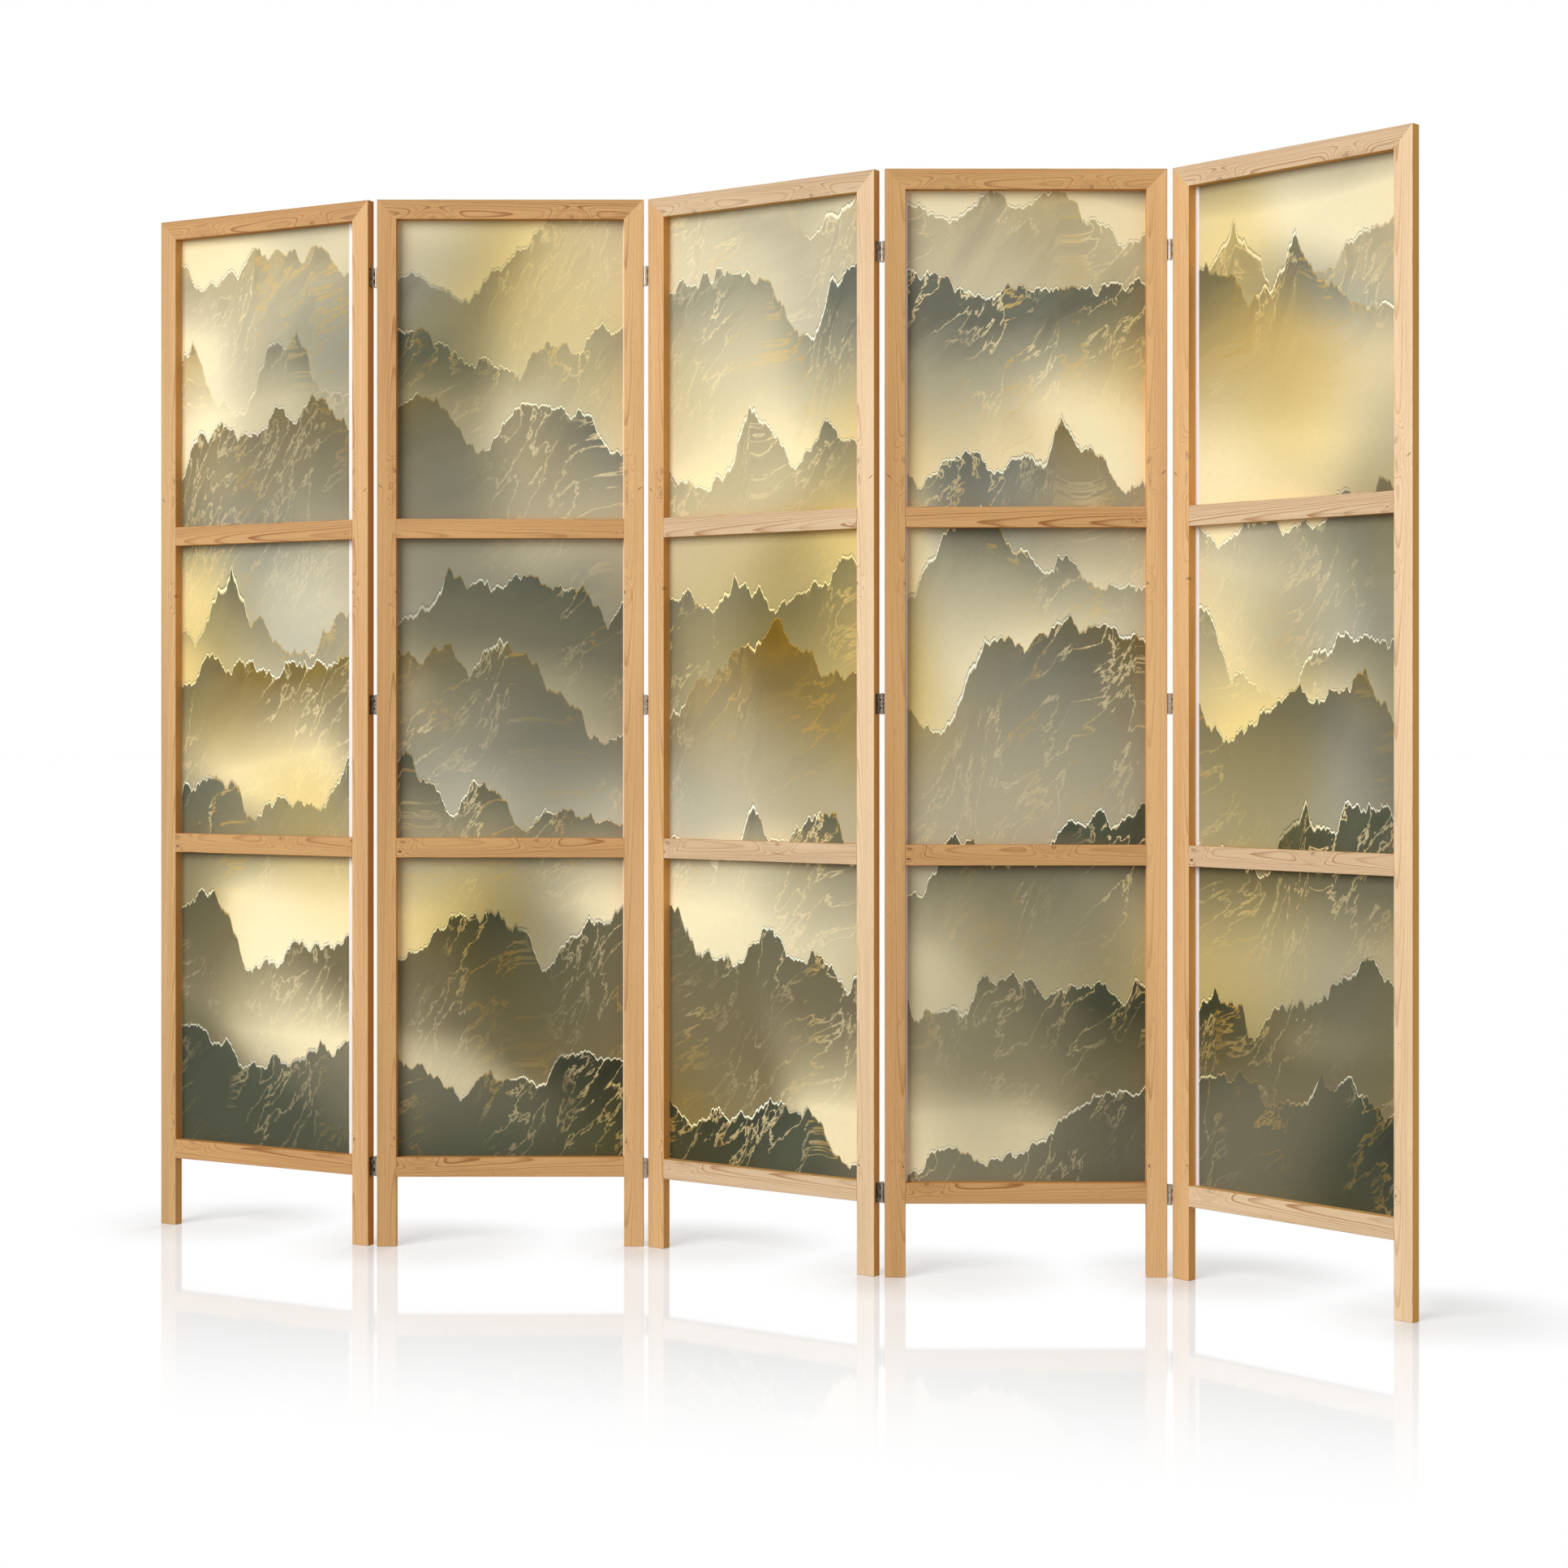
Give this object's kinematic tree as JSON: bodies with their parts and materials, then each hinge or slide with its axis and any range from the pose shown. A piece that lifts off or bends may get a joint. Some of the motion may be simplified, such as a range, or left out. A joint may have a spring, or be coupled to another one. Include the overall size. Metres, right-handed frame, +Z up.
{
  "type": "folding screen",
  "caption": "Folding room divider: pine-framed panels, each with printed cloth behind three windows, hinged edge to edge to stand zigzag or fold flat.",
  "frame": {"origin": "on the floor, in the middle of the zigzag screen's outline seen from above", "axes": "+X to the right along the second and fourth panels, seen from the printed front, which faces -Y; +Y to the back; +Z up"},
  "size_m": [1.8564, 0.7484, 1.61],
  "materials": {
    "pine": "planed and oiled",
    "printed_cloth": "matte print",
    "beech": "bare",
    "staple_wire": "galvanised",
    "screw_steel": "zinc plated",
    "nickel": "nickel plated"
  },
  "bodies": {
    "panel_1": {"panel_1_left_stile": "pine", "panel_1_right_stile": "pine", "panel_1_bottom_rail": "pine", "panel_1_lower_rail": "pine", "panel_1_upper_rail": "pine", "panel_1_top_rail": "pine", "panel_1_printed_sheet": "printed_cloth", "panel_1_dowels": "beech", "panel_1_staples": "staple_wire", "panel_1_hinge_screws": "screw_steel", "panel_1_right_hinge_leaves": "nickel"},
    "panel_2": {"panel_2_left_stile": "pine", "panel_2_right_stile": "pine", "panel_2_bottom_rail": "pine", "panel_2_lower_rail": "pine", "panel_2_upper_rail": "pine", "panel_2_top_rail": "pine", "panel_2_printed_sheet": "printed_cloth", "panel_2_dowels": "beech", "panel_2_staples": "staple_wire", "panel_2_hinge_screws": "screw_steel", "panel_2_left_hinge_leaves": "nickel", "panel_2_right_hinge_leaves": "nickel", "panel_2_hinge_pins": "nickel"},
    "panel_3": {"panel_3_left_stile": "pine", "panel_3_right_stile": "pine", "panel_3_bottom_rail": "pine", "panel_3_lower_rail": "pine", "panel_3_upper_rail": "pine", "panel_3_top_rail": "pine", "panel_3_printed_sheet": "printed_cloth", "panel_3_dowels": "beech", "panel_3_staples": "staple_wire", "panel_3_hinge_screws": "screw_steel", "panel_3_left_hinge_leaves": "nickel", "panel_3_right_hinge_leaves": "nickel"},
    "panel_4": {"panel_4_left_stile": "pine", "panel_4_right_stile": "pine", "panel_4_bottom_rail": "pine", "panel_4_lower_rail": "pine", "panel_4_upper_rail": "pine", "panel_4_top_rail": "pine", "panel_4_printed_sheet": "printed_cloth", "panel_4_dowels": "beech", "panel_4_staples": "staple_wire", "panel_4_hinge_screws": "screw_steel", "panel_4_left_hinge_leaves": "nickel", "panel_4_right_hinge_leaves": "nickel", "panel_4_hinge_pins": "nickel"},
    "panel_5": {"panel_5_left_stile": "pine", "panel_5_right_stile": "pine", "panel_5_bottom_rail": "pine", "panel_5_lower_rail": "pine", "panel_5_upper_rail": "pine", "panel_5_top_rail": "pine", "panel_5_printed_sheet": "printed_cloth", "panel_5_dowels": "beech", "panel_5_staples": "staple_wire", "panel_5_hinge_screws": "screw_steel", "panel_5_left_hinge_leaves": "nickel"}
  },
  "joints": [
    {"name": "fold_2_3", "type": "hinge", "parent": "panel_3", "child": "panel_2", "pos_m": [-0.13887, 0.16263, 0], "axis": [0, 0, 1], "range_deg": [-34, 146]},
    {"name": "fold_3_4", "type": "hinge", "parent": "panel_3", "child": "panel_4", "pos_m": [0.21733, -0.05411, 0], "axis": [0, 0, 1], "range_deg": [-34, 146]},
    {"name": "fold_1_2", "type": "hinge", "parent": "panel_2", "child": "panel_1", "pos_m": [-0.55537, 0.18213, 0], "axis": [0, 0, -1], "range_deg": [-28, 152]},
    {"name": "fold_4_5", "type": "hinge", "parent": "panel_4", "child": "panel_5", "pos_m": [0.63383, -0.07361, 0], "axis": [0, 0, -1], "range_deg": [-47, 133]}
  ],
  "couplings": [
    {"joint": "fold_3_4", "follows": "fold_2_3", "ratio": 1}
  ]
}
